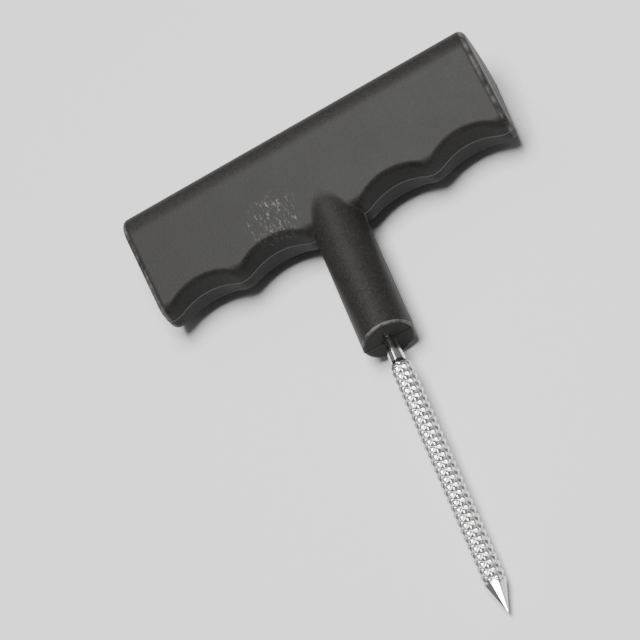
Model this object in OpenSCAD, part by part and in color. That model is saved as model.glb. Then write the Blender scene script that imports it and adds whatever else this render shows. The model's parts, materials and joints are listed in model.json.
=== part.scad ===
// T-handled tyre plug tool: one moulded grip and one steel rod, lying as it rests on a flat surface.
// It is drawn in its own frame first: x along the rod towards the point, y along the bar,
// z square to the moulding's mid-plane, and x = 0 just in front of the bar's thickest place.

/* [Bar] */
// Length of the bar, end to end
bar_len = 102; // [94:1:112]
// From x = 0 to the finger edge
nose_depth = 21.9; // [20:0.1:25]
// Radius of the two rounded edges of the finger side
nose_r = 4; // [3:0.5:5]
// Half of the gap between the centres of those two roundings
nose_z = 1.8; // [1:0.1:3]
// Radius of the two rounded shoulders at the thickest place
shoulder_r = 7.5; // [5:0.5:8]
// Half of the gap between the centres of the shoulders
shoulder_z = 4.4; // [3:0.1:6]
// How far the centres of the shoulders lie behind x = 0
shoulder_back = 2.2; // [1:0.1:4]
// Radius of the crowned palm side
palm_r = 30; // [26:1:60]
// Plan radius of the bar's four corners
corner_r = 2.5; // [1:0.5:4]

/* [Finger bays] */
// From the middle of the bar to the middle of the inner bay
inner_bay_y = 17.6; // [17:0.1:19]
// Distance between the two bays of one side
bay_step = 20.8; // [20:0.1:22]
// Radius of a finger bay
bay_r = 16; // [12:0.5:18]
// Depth of a bay at the mid-plane
bay_depth = 3.3; // [2:0.1:4]
// Lean of a bay's floor, which cuts deeper towards the flanks
bay_lean = 6; // [3:1:15]

/* [Neck] */
// Diameter of the neck
neck_d = 14; // [12:0.5:15]
// From x = 0 to the end of the neck
neck_end = 60.2; // [50:0.1:70]
// Broken edge at the end of the neck
neck_edge = 0.5; // [0.2:0.1:1]
// How far in front of the finger edge the neck's true cylinder starts
neck_root = 1.5; // [1:0.5:4]
// How much wider the neck's radius is at its root, in the middle of the bar
root_swell = 0.6; // [0.3:0.1:1]

/* [Rod] */
// Diameter of the tang, the buried end of the rod
tang_d = 3.3; // [3:0.1:4]
// Where the tang starts inside the bar
tang_start = 4; // [0:1:12]
// Width across the coined wings that lock the tang in the moulding
wing_w = 7; // [6:0.5:8]
// Thickness of the coined wings
wing_t = 1.6; // [1.2:0.1:2.4]
// Length of the coined wings
wing_len = 9; // [6:1:12]
// Diameter of the shank where it meets the rasp
shank_d = 4.5; // [4.2:0.1:5]
// From x = 0 to the start of the rasp
rasp_start = 68.4; // [66:0.1:78]

/* [Rasp and point] */
// Diameter over the teeth
rasp_d = 5.9; // [5.6:0.1:6.3]
// Depth of the teeth
tooth_depth = 0.55; // [0.3:0.05:0.7]
// Number of tooth rows along the rasp
tooth_rows = 28; // [20:1:34]
// Length of one tooth row
tooth_pitch = 2.36; // [2:0.01:2.6]
// Number of grooves along the rasp that part the rows into teeth
groove_count = 8; // [4:1:10]
// Length of the rounded shoulder where the rasp starts
lead_in = 1.8; // [1:0.1:3]
// Length of the point
point_len = 9.2; // [7:0.1:12]
// Radius at the tip of the point
tip_r = 0.2; // [0.1:0.05:0.4]

/* [Hidden] */
$fn = 96;

rasp_r = rasp_d / 2;
root_r = rasp_r - tooth_depth;
cone_start = rasp_start + lead_in + tooth_rows * tooth_pitch;
tip_x = cone_start + point_len;

// The plan cuts the section by this much in front and clears it by as much behind,
// so that no two faces coincide.
plan_gap = 0.05;
shoulder_x = -shoulder_back;
nose_x = nose_depth + plan_gap - nose_r;
// The flat flanks touch the shoulders and the roundings of the finger side, and lean by flank_lean.
flank_line = [nose_x - shoulder_x, shoulder_z - nose_z];
flank_lean = atan2(flank_line[1], flank_line[0]) + asin((shoulder_r - nose_r) / norm(flank_line));
crown_lean = asin(shoulder_z / (palm_r - shoulder_r));
crown_x = shoulder_x + (palm_r - shoulder_r) * cos(crown_lean);
arc_steps = 14;

// It lies on one shoulder of the bar and on the last row of teeth, so it tips down by lie_pitch.
low_line = [cone_start - shoulder_x, shoulder_z - rasp_r];
lie_pitch = atan2(low_line[1], low_line[0]) + asin(shoulder_r / norm(low_line));
back_x = crown_x * cos(lie_pitch) - palm_r;
front_x = (tip_x - tip_r) * cos(lie_pitch) + tip_r;
mid_x = (back_x + front_x) / 2;
lift_z = shoulder_r + shoulder_x * sin(lie_pitch) + shoulder_z * cos(lie_pitch);

module as_it_lies() {
    translate([-mid_x, 0, lift_z])
        rotate([0, lie_pitch, 0])
            children();
}

function arc(x, z, r, from, to, first = 0) = [
    for (i = [first : arc_steps])
        let (a = from + i / arc_steps * (to - from))
            [x + r * cos(a), z + r * sin(a)]
];

// The upper half of the bar's outline runs from the finger side over the shoulder round to the palm.
module bar_section() {
    upper = concat(
        arc(nose_x, nose_z, nose_r, 0, 90 - flank_lean),
        arc(shoulder_x, shoulder_z, shoulder_r, 90 - flank_lean, 180 - crown_lean),
        arc(crown_x, 0, palm_r, 180 - crown_lean, 180, 1)
    );
    lower = [for (i = [len(upper) - 2 : -1 : 0]) [upper[i][0], -upper[i][1]]];
    polygon(concat(upper, lower));
}

// The bar seen square to its mid-plane: a rectangle with four round corners.
module bar_plan() {
    x0 = crown_x - palm_r - plan_gap;
    x1 = nose_depth;
    half = bar_len / 2;
    translate([x0 + corner_r, -half])
        square([x1 - x0 - 2 * corner_r, bar_len]);
    translate([x0, -half + corner_r])
        square([x1 - x0, bar_len - 2 * corner_r]);
    for (x = [x0 + corner_r, x1 - corner_r], y = [-half + corner_r, half - corner_r])
        translate([x, y])
            circle(r = corner_r);
}

module bar() {
    thick = 2 * (shoulder_z + shoulder_r) + 2;
    intersection() {
        rotate([90, 0, 0])
            translate([0, 0, -bar_len / 2 - 1])
                linear_extrude(bar_len + 2)
                    bar_section();
        translate([0, 0, -thick / 2])
            linear_extrude(thick)
                bar_plan();
    }
}

// One bay is two leaning drums that meet at the mid-plane.
module finger_bay(y) {
    drum_h = 60;
    for (side = [-1, 1])
        translate([nose_depth - bay_depth, y, 0])
            rotate([0, -side * bay_lean, 0])
                translate([bay_r, 0, -drum_h / 2])
                    cylinder(r = bay_r, h = drum_h);
}

// The neck widens evenly from where its true cylinder starts back to the middle of the bar.
module neck() {
    neck_start = nose_depth + neck_root;
    rotate([0, 90, 0]) {
        cylinder(r1 = neck_d / 2 + root_swell, r2 = neck_d / 2, h = neck_start);
        translate([0, 0, neck_start])
            cylinder(d = neck_d, h = neck_end - neck_edge - neck_start);
        translate([0, 0, neck_end - neck_edge])
            cylinder(r1 = neck_d / 2, r2 = neck_d / 2 - neck_edge, h = neck_edge);
    }
}

// The buried end of the rod. The moulding closes round it, so it also shapes the handle's cavity.
module tang() {
    translate([tang_start, 0, 0])
        rotate([0, 90, 0])
            cylinder(d = tang_d, h = neck_end - tang_start);
    translate([tang_start + wing_len / 2, -wing_w / 2, -wing_t / 2])
        cube([wing_len, wing_w, wing_t]);
    translate([tang_start + 2 * wing_len, -wing_t / 2, -wing_w / 2])
        cube([wing_len, wing_t, wing_w]);
}

// Outline of the rod outside the handle, turned about its axis: [distance along x, radius].
function tooth_row(i) =
    let (x = rasp_start + lead_in + i * tooth_pitch)
        [[x, rasp_r], [x + tooth_pitch * 0.18, root_r], [x + tooth_pitch * 0.5, root_r],
         [x + tooth_pitch * 0.78, rasp_r]];
function lead_in_arc() = [
    for (i = [0 : 6])
        let (a = 90 * i / 6)
            [rasp_start + lead_in * (1 - cos(a)), shank_d / 2 + (rasp_r - shank_d / 2) * sin(a)]
];
function tip_arc() = [
    for (i = [1 : 5])
        let (a = 90 - 18 * i)
            [tip_x - tip_r + tip_r * cos(a), tip_r * sin(a)]
];
function rod_outline() = concat(
    [[neck_end, 0], [neck_end, tang_d / 2]],
    lead_in_arc(),
    [for (i = [0 : tooth_rows - 1]) each tooth_row(i)],
    [[cone_start, rasp_r], [tip_x - tip_r, tip_r]],
    tip_arc()
);

module toothed_rod() {
    groove_x = rasp_start + lead_in;
    groove_len = tooth_rows * tooth_pitch;
    difference() {
        rotate([0, 90, 0])
            rotate_extrude()
                polygon([for (p = rod_outline()) [p[1], p[0]]]);
        for (i = [0 : groove_count - 1])
            rotate([(i + 0.5) * 360 / groove_count, 0, 0])
                translate([groove_x, 0, rasp_r])
                    rotate([45, 0, 0])
                        translate([0, -tooth_depth * 0.6, -tooth_depth * 0.6])
                            cube([groove_len, tooth_depth * 1.2, tooth_depth * 1.2]);
    }
}

module handle() {
    color([0.07, 0.07, 0.07])
        as_it_lies()
            difference() {
                union() {
                    difference() {
                        bar();
                        for (side = [-1, 1], i = [0, 1])
                            finger_bay(side * (inner_bay_y + i * bay_step));
                    }
                    neck();
                }
                tang();
            }
}

module rod() {
    color([0.72, 0.72, 0.70])
        as_it_lies() {
            tang();
            toothed_rod();
        }
}

handle();
rod();
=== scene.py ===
"""A T-handled tyre plug tool: a black moulded grip on a bright toothed rod, lying on a pale floor.

Shapes are worked out in millimetres in the tool's own axes (x along the rod towards the point, y along
the bar, z square to the moulding's mid-plane, x = 0 just in front of where the bar is thickest) and then
laid down where the frame's mounts say.
"""
import json
import math

import bpy
import numpy as np
from mathutils import Matrix, Vector


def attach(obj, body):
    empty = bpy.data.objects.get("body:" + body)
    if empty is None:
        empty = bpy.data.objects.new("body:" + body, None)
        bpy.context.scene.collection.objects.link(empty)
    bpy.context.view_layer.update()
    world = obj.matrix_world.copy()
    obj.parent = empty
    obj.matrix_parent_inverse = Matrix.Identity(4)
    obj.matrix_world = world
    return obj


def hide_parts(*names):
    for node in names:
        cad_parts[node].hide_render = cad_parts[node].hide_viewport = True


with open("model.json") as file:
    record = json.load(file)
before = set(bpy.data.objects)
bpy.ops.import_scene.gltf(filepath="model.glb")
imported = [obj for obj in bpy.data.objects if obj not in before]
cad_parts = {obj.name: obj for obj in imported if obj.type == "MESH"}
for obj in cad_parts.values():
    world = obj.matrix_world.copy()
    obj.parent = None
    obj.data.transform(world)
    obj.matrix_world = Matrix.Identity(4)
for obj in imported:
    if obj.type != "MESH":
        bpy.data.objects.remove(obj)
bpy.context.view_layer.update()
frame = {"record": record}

# ---------------------------------------------------------------- sizes in millimetres, own axes

BAR_HALF = 51.0          # half of the bar's length
NOSE = 21.9              # the finger edge of the bar
NOSE_R = 4.0             # rounding between a flank and the finger edge
NOSE_X = NOSE - NOSE_R
NOSE_Z = 1.8
SHOULDER_R = 7.48        # rounding between a flank and the palm side
SHOULDER_X = -2.2
SHOULDER_Z = 4.4
PALM_R = 30.0            # crown of the palm side
END_R = 2.0              # rounding of the bar's ends

BAY_Y = (17.6, 38.4)     # middles of the inner and the outer finger bay
BAY_HALF = 9.6           # half of a bay's width
BAY_DEPTH = 3.35         # depth at the mid-plane
BAY_LEAN = 0.1           # how much deeper a bay gets for each millimetre towards a flank
BAY_SPREAD = 1.2         # how much more of that lean a bay's two sides get
BAY_SOFT = 0.22          # softness of the crests between the bays
CREST_LIFT = 0.15        # what that softness would take off the crests
KEEL_R = 0.3             # rounding where the two leaning halves of a bay's floor meet
BAY_EDGE_R = 1.1         # rounding between a bay and a flank

NECK_R = 7.0
NECK_START = -1.0        # inside the bar
NECK_END = 60.2
NECK_EDGE_R = 0.45
ROOT_R = 0.5             # fillet between the neck and the bar

FLASH_H = 0.14           # ridge left by the mould's parting line
FLASH_W = 0.2            # half of its width
PALM_FLASH = 0.35        # the share of that height on the palm side
PALM_FLASH_X = -4.0      # where it fades to that share

TANG_START = 4.0
TANG_R = 1.65
WING_HALF = 3.5          # half of the width across the coined wings
WING_T = 1.6
WING_LEN = 9.0
WING_MIDDLES = (TANG_START + WING_LEN, TANG_START + 2.5 * WING_LEN)

SHANK_R = 2.25           # shank radius where the rasp starts
RASP_START = 68.4
LEAD_IN = 1.8            # length of the rounded shoulder at its start
RASP_R = 2.95
TOOTH_ROWS = 28
TOOTH_PITCH = 2.36
TOOTH_DEPTH = 0.65
TOOTH_STARTS = 6         # grooves of each hand round the rasp
TOOTH_ROUNDING = 0.55    # power of the teeth's height: 1 is a pyramid, and less is rounder
FIRST_ROW = 70.71        # middle of one row of teeth
TOOTH_TURN = math.radians(50.6)   # where round the rod a tooth of that row is
CONE_START = RASP_START + LEAD_IN + TOOTH_ROWS * TOOTH_PITCH
POINT_LEN = 9.2
TIP = CONE_START + POINT_LEN
TIP_R = 0.12
POINT_SIDES = 8
POINT_TURN = math.radians(35.6)   # where round the rod the middle of one flat of the point is

# Grid lines of the handle's skin, as stretches of (start, end, spacing). Across the bar and through it they
# are mirrored, and shifted a little so that no line lies in a middle plane.
GRID_X = ((-10.7, 9, 0.62), (9, 24.5, 0.34), (24.5, 58.5, 0.6), (58.5, 60.9, 0.2))
GRID_Y = ((0, 9, 0.42), (9, 49, 0.46), (49, 52, 0.25))
GRID_Z = ((0, 0.45, 0.09), (0.45, 1.2, 0.25), (1.2, 12.7, 0.5))
SHIFT_Y = 0.011
SHIFT_Z = 0.007

# Points round the rod, and rings of them along its four stretches.
ROD_COLUMNS = 120
TANG_RINGS = 60
LEAD_IN_RINGS = 16
RASP_RINGS = 560
POINT_RINGS = 60

# ---------------------------------------------------------------- where the tool lies

mounts = {m["name"]: m for m in frame["record"]["mounts"]}
x_axis = np.array(mounts["neck"]["axis"], float)
x_axis /= np.linalg.norm(x_axis)
y_axis = np.array([0.0, 1.0, 0.0])
z_axis = np.cross(x_axis, y_axis)
own_origin = np.array(mounts["point"]["pos_m"], float) - x_axis * TIP / 1000
LIE = math.atan2(-x_axis[2], x_axis[0])


def laid_down(points):
    """Points in own axes and millimetres, in the shared frame and metres: the three axes turned as the tool
    lies, plus its origin."""
    return own_origin + points @ np.array([x_axis, y_axis, z_axis]) / 1000


def new_piece(name, points, faces, material):
    """A smooth mesh piece at the origin, riding on the one body."""
    mesh = bpy.data.meshes.new(name)
    mesh.from_pydata(laid_down(points).tolist(), [], faces)
    mesh.polygons.foreach_set("use_smooth", np.ones(len(mesh.polygons), bool))
    mesh.materials.append(material)
    mesh.update()
    piece = bpy.data.objects.new(name, mesh)
    bpy.context.scene.collection.objects.link(piece)
    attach(piece, "root")
    return piece


# ---------------------------------------------------------------- the handle, as a distance formula

def round_meet(a, b, r):
    """Where both solids are: the larger distance, with the edge between them rounded to radius r."""
    corner = np.hypot(np.maximum(a + r, 0), np.maximum(b + r, 0))
    return np.minimum(-r, np.maximum(a, b)) + corner


def round_join(a, b, r):
    """Where either solid is: the smaller distance, with the valley between them filled to radius r."""
    corner = np.hypot(np.maximum(r - a, 0), np.maximum(r - b, 0))
    return np.maximum(r, np.minimum(a, b)) - corner


def section_gap(x, z):
    """Distance to the bar's section, whose outline is made of three stretches: a straight flank that touches
    two circles, the rounding of the finger edge in front of it, and the round shoulder and crowned palm
    behind it."""
    apart = (NOSE_X - SHOULDER_X, SHOULDER_Z - NOSE_Z)
    lean = math.atan2(apart[1], apart[0]) + math.asin((SHOULDER_R - NOSE_R) / math.hypot(*apart))
    across = x - SHOULDER_X
    up = np.abs(z) - SHOULDER_Z
    along = across * math.cos(lean) - up * math.sin(lean)
    flank = across * math.sin(lean) + up * math.cos(lean) - SHOULDER_R
    nose = np.hypot(np.maximum(x - NOSE_X, 0), np.maximum(np.abs(z) - NOSE_Z, 0)) - NOSE_R
    crown_lean = math.asin(SHOULDER_Z / (PALM_R - SHOULDER_R))
    crown_x = SHOULDER_X + (PALM_R - SHOULDER_R) * math.cos(crown_lean)
    crown = np.hypot(x - crown_x, z) - PALM_R
    way = np.arctan2(up, across)
    behind = (way > math.pi - crown_lean) | (way < -math.pi / 2)
    back = np.where(behind, crown, np.hypot(across, up) - SHOULDER_R)
    nose_starts = apart[0] * math.cos(lean) + apart[1] * math.sin(lean)
    return np.where(along < 0, back, np.where(along < nose_starts, flank, nose))


def bay_gap(x, y, z):
    """Distance in front of the bays' floors. A bay's depth is a parabola across its width, blended softly
    with its neighbours by the logarithm of a sum of exponentials, plus a lean that grows away from the
    mid-plane and is strongest towards the bay's two sides."""
    off = [(np.abs(y) - middle) / BAY_HALF for middle in BAY_Y]
    t = np.minimum(*np.abs(off))
    far = -9                 # deep enough outside a bay for its exponential to vanish
    waves = sum(np.exp(BAY_DEPTH / BAY_SOFT * np.maximum(1 - o ** 2, far)) for o in off)
    wave = np.log(1 + waves) * BAY_SOFT
    wide = np.maximum(1 - t ** 6, 0) * (1 + BAY_SPREAD * t * t)
    lean = np.sqrt(z * z + KEEL_R ** 2) - KEEL_R
    floor = NOSE + CREST_LIFT - wave - BAY_LEAN * lean * wide
    return (x - floor) / math.hypot(1, BAY_LEAN)


def tang_gap(x, y, z):
    """Distance to the rod's buried end: a round tang with one flat pair of wings each way."""
    tang = np.hypot(y, z) - TANG_R
    wings = []
    for middle, across, through in zip(WING_MIDDLES, (y, z), (z, y)):
        flat = np.maximum(np.abs(across) - WING_HALF, np.abs(through) - WING_T / 2)
        wings.append(np.maximum(flat, np.abs(x - middle) - WING_LEN / 2))
    return np.maximum(np.minimum(tang, np.minimum(*wings)), TANG_START - x)


def handle_gap(x, y, z):
    """Distance to the moulding: the bar with its bays, joined to the neck, swelled by the flash ridge on the
    mid-plane, less the room that the tang takes."""
    bar = round_meet(section_gap(x, z), bay_gap(x, y, z), BAY_EDGE_R)
    bar = round_meet(bar, np.abs(y) - BAR_HALF + FLASH_H, END_R)
    neck_ends = np.maximum(x - NECK_END, NECK_START - x)
    neck = round_meet(np.hypot(y, z) - NECK_R, neck_ends, NECK_EDGE_R)
    body = round_join(bar, neck, ROOT_R)
    worn = PALM_FLASH + (1 - PALM_FLASH) / (1 + np.exp(PALM_FLASH_X - x))
    body = body - FLASH_H * worn * np.exp(-(z / FLASH_W) ** 2)
    return np.maximum(body, -tang_gap(x, y, z))


def steps(stretches):
    """Grid lines: each stretch is (start, end, spacing), and each starts where the last one ends."""
    lines = [np.linspace(a, b, max(2, round((b - a) / d) + 1))[:-1] for a, b, d in stretches]
    return np.append(np.concatenate(lines), stretches[-1][1])


def mirrored(stretches, shift):
    """Grid lines on both sides of a middle plane, all moved by shift."""
    half = steps(stretches)
    return np.concatenate([-half[:0:-1], half]) + shift


def skin(gap, xs, ys, zs):
    """The surface where gap is zero, as points and quads: one point in each grid cell that the surface
    crosses, and one quad round each grid line that crosses it."""
    inside = gap(*np.meshgrid(xs, ys, zs, indexing="ij")) < 0
    sides = (slice(None, -1), slice(1, None))
    corners = sum(inside[i, j, k].astype(int) for i in sides for j in sides for k in sides)
    crossed = (corners > 0) & (corners < 8)
    number = np.full(crossed.shape, -1)
    number[crossed] = np.arange(crossed.sum())
    cells = np.argwhere(crossed)
    middles = [(line[:-1] + line[1:]) / 2 for line in (xs, ys, zs)]
    points = np.stack([middle[cells[:, n]] for n, middle in enumerate(middles)], 1)
    quads = []
    for axis in range(3):
        flat = np.moveaxis(inside, axis, 0)
        named = np.moveaxis(number, axis, 0)
        before = flat[:-1, 1:-1, 1:-1]
        after = flat[1:, 1:-1, 1:-1]
        i, j, k = np.nonzero(before != after)
        ring = np.stack([named[i, j, k], named[i, j + 1, k], named[i, j + 1, k + 1], named[i, j, k + 1]], 1)
        turn = before[i, j, k] == (axis != 1)
        ring[~turn] = ring[~turn][:, ::-1]
        quads.append(ring)
    return points, np.concatenate(quads)


def slope(gap, points, reach=0.01):
    """The gap at each point, and its slope from the differences over a small reach."""
    x, y, z = points.T
    rise = [gap(x + reach, y, z) - gap(x - reach, y, z),
            gap(x, y + reach, z) - gap(x, y - reach, z),
            gap(x, y, z + reach) - gap(x, y, z - reach)]
    return gap(x, y, z), np.stack(rise, 1) / (2 * reach)


def pulled(gap, points, pulls=4, least_slope=0.2, longest=0.3):
    """Points moved on to the surface: each time down the slope by the gap over the slope's square."""
    for _ in range(pulls):
        level, rise = slope(gap, points)
        pull = level / np.maximum((rise ** 2).sum(1), least_slope)
        points = points - np.clip(pull, -longest, longest)[:, None] * rise
    return points


def settled(gap, points, quads, slides=4, share=0.5):
    """Points pulled on to the surface, then slid along it towards the middle of their neighbours and put
    back on it each time."""
    starts = quads.T.ravel()
    ends = np.roll(quads, -1, 1).T.ravel()
    count = len(points)
    tally = np.bincount(starts, minlength=count) + np.bincount(ends, minlength=count)
    points = pulled(gap, points)
    for _ in range(slides):
        total = np.stack([np.bincount(starts, points[ends, n], count)
                          + np.bincount(ends, points[starts, n], count) for n in range(3)], 1)
        points = points + share * (total / tally[:, None] - points)
        points = pulled(gap, points)
    return points


def build_handle(material):
    """The moulded handle: the skin of its distance formula, on a grid that is finer at the finger edge and
    at the mid-plane."""
    points, quads = skin(handle_gap, steps(GRID_X), mirrored(GRID_Y, SHIFT_Y), mirrored(GRID_Z, SHIFT_Z))
    points = settled(handle_gap, points, quads)
    piece = new_piece("handle_skin", points, quads.tolist(), material)
    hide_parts("handle")
    return piece


# ---------------------------------------------------------------- the rod, as a radius round its axis

def groove(turns):
    """Height between V grooves for a place counted in grooves: 0 in a groove, 1 midway between two."""
    return 1 - 2 * np.abs((turns + 0.5) % 1 - 0.5)


def teeth(s, angle):
    """Height of the teeth from 0 to 1: the rounded pillows left between two sets of spiral grooves of
    opposite hand. A row of teeth is highest at FIRST_ROW and at the angle TOOTH_TURN."""
    along = (s - FIRST_ROW) / TOOTH_PITCH
    around = TOOTH_STARTS * (angle - TOOTH_TURN) / (2 * math.pi)
    return np.minimum(groove(along + around), groove(along - around)) ** TOOTH_ROUNDING


def tang_radius(s, angle):
    """Radius of the tang and of the shank, which widens evenly towards the rasp, with the flat wings where
    they stand out."""
    widening = (SHANK_R - TANG_R) * (s - NECK_END) / (RASP_START - NECK_END)
    radius = np.where(s < NECK_END, TANG_R, TANG_R + widening)
    tiny = 1e-6
    for middle, turn in zip(WING_MIDDLES, (0.0, math.pi / 2)):
        across = np.maximum(np.abs(np.cos(angle - turn)), tiny)
        through = np.maximum(np.abs(np.sin(angle - turn)), tiny)
        flat = np.minimum(WING_HALF / across, WING_T / 2 / through)
        radius = np.maximum(radius, np.where(np.abs(s - middle) <= WING_LEN / 2, flat, 0))
    return radius


def rasp_radius(s, angle):
    """Radius of the rasp: a parabola over the shoulder at its start, then level, less the grooves, which
    start half-way along the shoulder."""
    lead = np.clip((s - RASP_START) / LEAD_IN, 0, 1)
    land = SHANK_R + (RASP_R - SHANK_R) * (1 - (1 - lead) ** 2)
    fade = np.clip(2 * (s - RASP_START) / LEAD_IN - 1, 0, 1)
    return land - TOOTH_DEPTH * fade * (1 - teeth(s, angle))


def rod_radius(s, angle):
    """Radius of the rod at each place along it and angle round it. The point is a pyramid: an even taper,
    over the cosine of the angle from the middle of the nearest flat."""
    radius = np.where(s < RASP_START, tang_radius(s, angle), rasp_radius(s, angle))
    flat = 2 * math.pi / POINT_SIDES
    off = (angle - POINT_TURN + flat / 2) % flat - flat / 2
    taper = (TIP - s) * (RASP_R * math.cos(flat / 2) / POINT_LEN) + TIP_R
    return np.minimum(radius, taper / np.cos(off))


def ring_places():
    """Where the rings of the rod are: four even stretches, and a close pair at each end of the wings."""
    pairs = [middle + end * WING_LEN / 2 + gap
             for middle in WING_MIDDLES for end in (-1, 1) for gap in (-0.01, 0.01)]
    rasp_end = CONE_START + 1.0
    return np.unique(np.concatenate([
        np.linspace(TANG_START, RASP_START, TANG_RINGS),
        pairs,
        np.linspace(RASP_START + 0.02, RASP_START + LEAD_IN, LEAD_IN_RINGS),
        np.linspace(RASP_START + LEAD_IN, rasp_end, RASP_RINGS)[1:],
        np.linspace(rasp_end, TIP - TIP_R / 2, POINT_RINGS)[1:],
    ]))


def build_rod(material):
    """The steel rod: rings of points along its axis at the rod's radius, and one point to close each end."""
    s = ring_places()
    angles = np.arange(ROD_COLUMNS) * 2 * math.pi / ROD_COLUMNS
    along, angle = np.meshgrid(s, angles, indexing="ij")
    radius = rod_radius(along, angle)
    points = np.stack([along, radius * np.cos(angle), radius * np.sin(angle)], -1).reshape(-1, 3)
    poles = np.array([[s[0], 0, 0], [s[-1], 0, 0]])
    ring = np.arange(len(points)).reshape(along.shape)
    here = ring[:-1]
    there = ring[1:]
    walls = np.stack([here, np.roll(here, -1, 1), np.roll(there, -1, 1), there], -1).reshape(-1, 4)
    start = np.stack([np.roll(ring[0], -1), ring[0], np.full(ROD_COLUMNS, len(points))], 1)
    end = np.stack([ring[-1], np.roll(ring[-1], -1), np.full(ROD_COLUMNS, len(points) + 1)], 1)
    faces = walls.tolist() + start.tolist() + end.tolist()
    piece = new_piece("rod_skin", np.concatenate([points, poles]), faces, material)
    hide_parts("rod")
    return piece


# ---------------------------------------------------------------- materials

class Wire:
    """One socket's value in a shader, so that sums on values are written as sums."""

    def __init__(self, sheet, socket):
        self.sheet = sheet
        self.socket = socket

    def maths(self, operation, *terms):
        """What a Math node makes of wires and numbers."""
        return self.sheet.node("ShaderNodeMath", {"operation": operation}, dict(enumerate(terms)))

    def __add__(self, other):
        return self.maths("ADD", self, other)

    def __sub__(self, other):
        return self.maths("SUBTRACT", self, other)

    def __rsub__(self, other):
        return self.maths("SUBTRACT", other, self)

    def __mul__(self, other):
        return self.maths("MULTIPLY", self, other)

    def __truediv__(self, other):
        return self.maths("DIVIDE", self, other)

    def __rtruediv__(self, other):
        return self.maths("DIVIDE", other, self)

    def __pow__(self, other):
        return self.maths("POWER", self, other)

    def __abs__(self):
        return self.maths("ABSOLUTE", self)

    __radd__ = __add__
    __rmul__ = __mul__

    def ramp(self, low, high):
        """0 below low, 1 above high and smooth between, or the other way round where low is above high."""
        sockets = {"Value": self, "From Min": low, "From Max": high}
        return self.sheet.node("ShaderNodeMapRange", {"interpolation_type": "SMOOTHSTEP"}, sockets)


class Finish:
    """A material being made: its nodes, and places in the tool's own axes in millimetres."""

    def __init__(self, name):
        self.material = bpy.data.materials.new(name)
        self.material.use_nodes = True
        self.tree = self.material.node_tree
        self.shader = self.tree.nodes["Principled BSDF"]
        place = self.node("ShaderNodeTexCoord", out="Object")
        self.place = self.node("ShaderNodeMapping", {"vector_type": "TEXTURE"}, {
            "Vector": place, "Location": tuple(own_origin), "Rotation": (0, LIE, 0), "Scale": (0.001,) * 3})
        axes = [self.node("ShaderNodeSeparateXYZ", sockets={"Vector": self.place}, out=n) for n in range(3)]
        self.x, self.y, self.z = axes
        self.axis_gap = (self.y * self.y + self.z * self.z) ** 0.5

    def plug(self, node, sockets):
        """Gives each named or numbered socket of a node its wire or its value."""
        for key, value in sockets.items():
            if isinstance(value, Wire):
                self.tree.links.new(value.socket, node.inputs[key])
            else:
                node.inputs[key].default_value = value

    def node(self, kind, settings=None, sockets=None, out=0):
        """Adds a node, sets it and then plugs its sockets. Gives the wire of one of its outputs."""
        made = self.tree.nodes.new(kind)
        for key, value in (settings or {}).items():
            setattr(made, key, value)
        self.plug(made, sockets or {})
        return Wire(self, made.outputs[out])

    def stretched(self, scale, turn=(0, 0, 0)):
        """The place in own millimetres, times a scale along each axis."""
        return self.node("ShaderNodeMapping", {}, {"Vector": self.place, "Scale": scale, "Rotation": turn})

    def noise(self, scale, detail=2.0, where=None, roughness=0.5):
        """Cloudy noise about 0.5, with about scale lumps to the millimetre."""
        return self.node("ShaderNodeTexNoise", {}, {
            "Vector": where or self.place, "Scale": scale, "Detail": detail, "Roughness": roughness})

    def blend(self, share, low, high):
        """A colour from low to high by share. Each is a wire or four numbers."""
        settings = {"data_type": "RGBA", "clamp_factor": True}
        return self.node("ShaderNodeMix", settings, {0: share, 6: low, 7: high}, out=2)

    def bump(self, height, distance, strength):
        """A surface normal roughened by a height, whose full range is a distance in millimetres."""
        return self.node("ShaderNodeBump", {}, {
            "Height": height, "Distance": distance / 1000, "Strength": strength})

    def feed(self, **values):
        """Sets the main shader's sockets, whose names have _ for a space. Gives the finished material."""
        self.plug(self.shader, {key.replace("_", " "): value for key, value in values.items()})
        return self.material


def grey(level, warm=0.0):
    """A grey colour, warmed by a share."""
    return (level * (1 + warm), level, level * (1 - warm), 1)


def scuffs(f, grain):
    """Pale streaks in an oval patch on the upper flank, beside the neck, broken up by the grain."""
    middle_x = 14.0
    middle_y = -13.5
    half_x = 6.0
    half_y = 7.0
    patch = ((f.x - middle_x) / half_x) ** 2.0 + ((f.y - middle_y) / half_y) ** 2.0
    streaks = f.noise(1.0, 4.0, f.stretched((0.40, 1.30, 0.8), (0, 0, 0.75)), 0.7)
    upper = f.z.ramp(2.0, 4.0)
    return patch.ramp(1.6, 0.0) * streaks.ramp(0.50, 0.72) * grain.ramp(0.35, 0.60) * upper


def pale_edge_highlights(f):
    """Pale, patchy edges at both ends of the bar and at the end of the neck: a painted highlight on the edge
    roundings, broken into patches.
    """
    patches = f.noise(0.35, 4.0, roughness=0.6)
    from_end = BAR_HALF - abs(f.y)
    bar_ends = from_end.ramp(1.7, 1.1) * from_end.ramp(0.2, 0.8) * patches.ramp(0.30, 0.75)
    neck_end = f.x.ramp(NECK_END - 0.7, NECK_END - 0.4) * f.axis_gap.ramp(NECK_R - 0.75, NECK_R - 0.45)
    return bar_ends * 0.45 + neck_end * patches.ramp(0.30, 0.60) * 0.45


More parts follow.
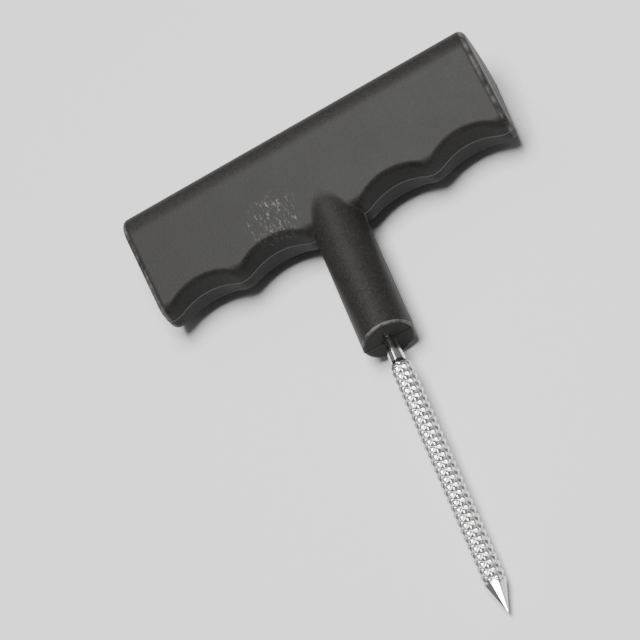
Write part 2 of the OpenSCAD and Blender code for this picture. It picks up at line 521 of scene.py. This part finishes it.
def moulded_black():
    """Black spark-grained moulding: fine grain over soft mottling, a paler flash line, pale specks on the
    neck, scuffs, and a painted highlight on the end edges of the bar and the neck."""
    f = Finish("moulded_black")
    grain = f.noise(2.6, 2.5)
    mottle = f.noise(0.9, 3.0, roughness=0.6)
    cloud = f.noise(0.09, 3.0)
    flash = abs(f.z).ramp(0.28, 0.12) * f.x.ramp(NECK_END - 0.3, NECK_END - 0.6)
    specks = f.noise(3.6, 2.0).ramp(0.60, 0.74) * f.x.ramp(20, 26)
    scuff = scuffs(f, grain)
    colour = f.blend(cloud, grey(0.008, 0.04), grey(0.015, 0.05))
    colour = f.blend(mottle.ramp(0.35, 0.70) * 0.4, colour, grey(0.022, 0.04))
    colour = f.blend(grain.ramp(0.40, 0.75) * 0.4, colour, grey(0.032, 0.04))
    colour = f.blend(flash * 0.75, colour, grey(0.09))
    colour = f.blend(specks * 0.4, colour, grey(0.08, 0.03))
    # painted highlight: pale patches along the end edges of the bar and the neck
    colour = f.blend(pale_edge_highlights(f), colour, grey(0.22, 0.03))
    colour = f.blend(scuff * 0.7, colour, grey(0.30, 0.02))
    rough = grain * 0.18 + mottle * 0.14 + cloud * 0.10 + 0.27 + scuff * 0.15
    fine = f.bump(grain, 0.08, 0.6)
    return f.feed(Base_Color=colour, Roughness=rough, Normal=fine, Specular_IOR_Level=0.125)


def plated_steel():
    """Bright plated steel: faint turning marks, a duller skin between the teeth, and painted shade that
    darkens the roots of the grooves.
    """
    f = Finish("plated_steel")
    marks = f.noise(1.0, 2.0, f.stretched((9.0, 0.5, 0.5)))
    cloud = f.noise(0.5, 3.0)
    toothed = f.x.ramp(RASP_START, RASP_START + LEAD_IN) * f.x.ramp(CONE_START + 1.5, CONE_START)
    # root: how deep a place lies in the grooves, for the painted shade in the roots and their rougher skin
    root = f.axis_gap.ramp(RASP_R - 0.15, RASP_R - TOOTH_DEPTH) * toothed
    colour = f.blend(cloud, grey(0.84, 0.012), grey(0.90, 0.008))
    # painted shade: the roots of the grooves darkened towards a dark grey
    colour = f.blend(root * 0.4, colour, grey(0.30, 0.03))
    rough = cloud * 0.08 + marks * 0.05 + toothed * 0.06 + root * 0.12 + 0.09
    fine = f.bump(marks, 0.01, 0.35)
    return f.feed(Base_Color=colour, Metallic=1.0, Roughness=rough, Normal=fine)


def pale_floor():
    """Plain pale studio floor."""
    return Finish("pale_floor").feed(Base_Color=grey(0.70), Roughness=0.85)


# ---------------------------------------------------------------- studio

FLOOR_HALF = 3.0
SURROUND = 0.20          # strength of the even light from all round
SENSOR = 36.0            # the camera's, in millimetres, like its lens
LENS = 189.13
LOOKS_AT = (-0.02318, -0.01407, 0.009)
AZIMUTH = 102.743        # degrees, from the -Y side towards +X
ELEVATION = 48.366
DISTANCE = 0.84303       # metres
ROLL = -38.853


def aim(thing, place, target, roll=0.0):
    """Puts a light or the camera at a place, looking at a target, turned by roll about its line of sight."""
    look = (Vector(target) - Vector(place)).to_track_quat("-Z", "Y").to_matrix().to_4x4()
    thing.matrix_world = Matrix.Translation(Vector(place)) @ look @ Matrix.Rotation(roll, 4, "Z")


def bearing(azimuth, elevation, distance, centre):
    """The place at a distance from a centre, by azimuth (0 is the -Y side, 90 is +X) and elevation."""
    a = math.radians(azimuth)
    e = math.radians(elevation)
    away = Vector((math.sin(a) * math.cos(e), -math.cos(a) * math.cos(e), math.sin(e)))
    return Vector(centre) + away * distance


def softbox(name, place, target, size, power):
    """A rectangular soft light."""
    lamp = bpy.data.lights.new(name, "AREA")
    lamp.shape = "RECTANGLE"
    lamp.size, lamp.size_y = size
    lamp.energy = power
    light = bpy.data.objects.new(name, lamp)
    bpy.context.scene.collection.objects.link(light)
    aim(light, place, target)


def build_floor():
    """A square of floor at height zero."""
    square = [(-1, -1), (1, -1), (1, 1), (-1, 1)]
    mesh = bpy.data.meshes.new("floor")
    mesh.from_pydata([(x * FLOOR_HALF, y * FLOOR_HALF, 0) for x, y in square], [], [(0, 1, 2, 3)])
    mesh.materials.append(pale_floor())
    floor = bpy.data.objects.new("floor", mesh)
    bpy.context.scene.collection.objects.link(floor)


def build_lights():
    """A softbox overhead, a narrow one behind the bar, and an even pale surround."""
    softbox("overhead", (0.0, 0.0, 0.85), (-0.02, 0, 0), (0.40, 0.60), 17.0)
    softbox("behind", (-0.80, -0.25, 0.75), (0, 0, 0.01), (0.10, 0.5), 1.6)
    world = bpy.data.worlds.new("surround")
    world.use_nodes = True
    world.node_tree.nodes["Background"].inputs["Color"].default_value = grey(0.9)
    world.node_tree.nodes["Background"].inputs["Strength"].default_value = SURROUND
    bpy.context.scene.world = world


def build_camera():
    """The camera: over the point's side of the tool, close enough for the tool to fill the picture."""
    lens = bpy.data.cameras.new("camera")
    lens.sensor_width = SENSOR
    lens.lens = LENS
    lens.clip_start = 0.05
    lens.clip_end = 20.0
    camera = bpy.data.objects.new("camera", lens)
    bpy.context.scene.collection.objects.link(camera)
    aim(camera, bearing(AZIMUTH, ELEVATION, DISTANCE, LOOKS_AT), LOOKS_AT, math.radians(ROLL))
    bpy.context.scene.camera = camera


build_handle(moulded_black())
build_rod(plated_steel())
build_floor()
build_lights()
build_camera()
bpy.context.view_layer.update()
